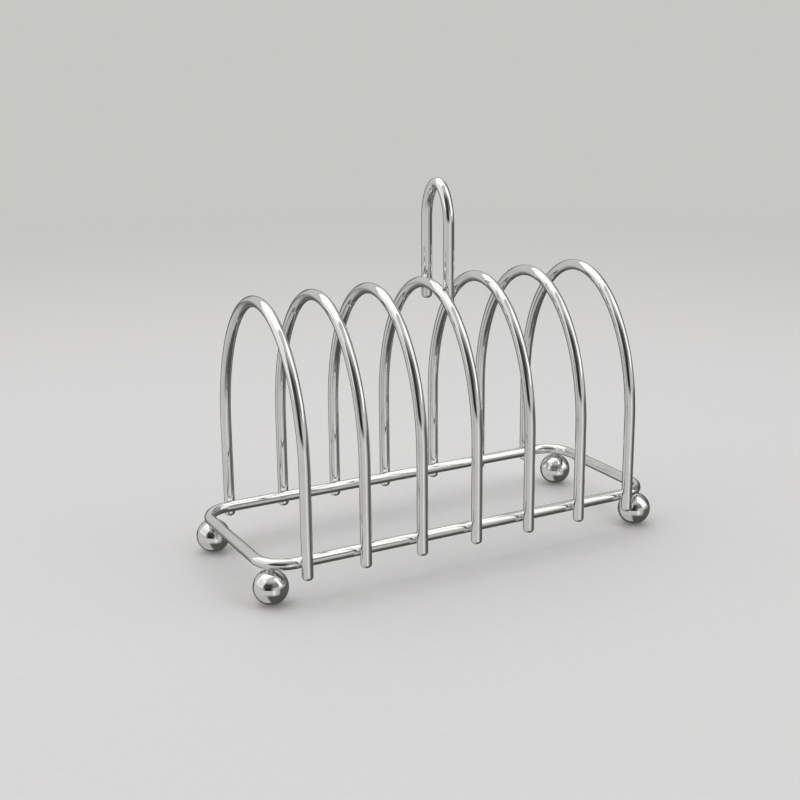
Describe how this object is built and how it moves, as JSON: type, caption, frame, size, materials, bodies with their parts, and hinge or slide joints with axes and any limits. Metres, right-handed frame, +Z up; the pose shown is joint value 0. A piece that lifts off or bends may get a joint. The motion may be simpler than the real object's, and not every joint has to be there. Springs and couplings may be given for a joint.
{
  "type": "toast rack",
  "caption": "Free-standing wire toast rack: upright arches hold slices apart on a rounded wire base with small ball feet, and a narrow wire loop on top is the handle.",
  "frame": {"origin": "on the table, at the middle of the rack's bounding box in X and Y", "axes": "+X along the row of slots, +Y across them, +Z up"},
  "size_m": [0.1868, 0.0842, 0.1535],
  "materials": {
    "polished_wire": "mirror-bright polished round wire",
    "polished_ball": "mirror-bright polished ball"
  },
  "bodies": {
    "root": {"base_frame": "polished_wire", "divider_arch_1": "polished_wire", "divider_arch_2": "polished_wire", "divider_arch_3": "polished_wire", "divider_arch_4": "polished_wire", "divider_arch_5": "polished_wire", "divider_arch_6": "polished_wire", "divider_arch_7": "polished_wire", "handle_loop": "polished_wire", "ball_foot_front_left": "polished_ball", "ball_foot_front_right": "polished_ball", "ball_foot_back_left": "polished_ball", "ball_foot_back_right": "polished_ball"}
  },
  "joints": []
}
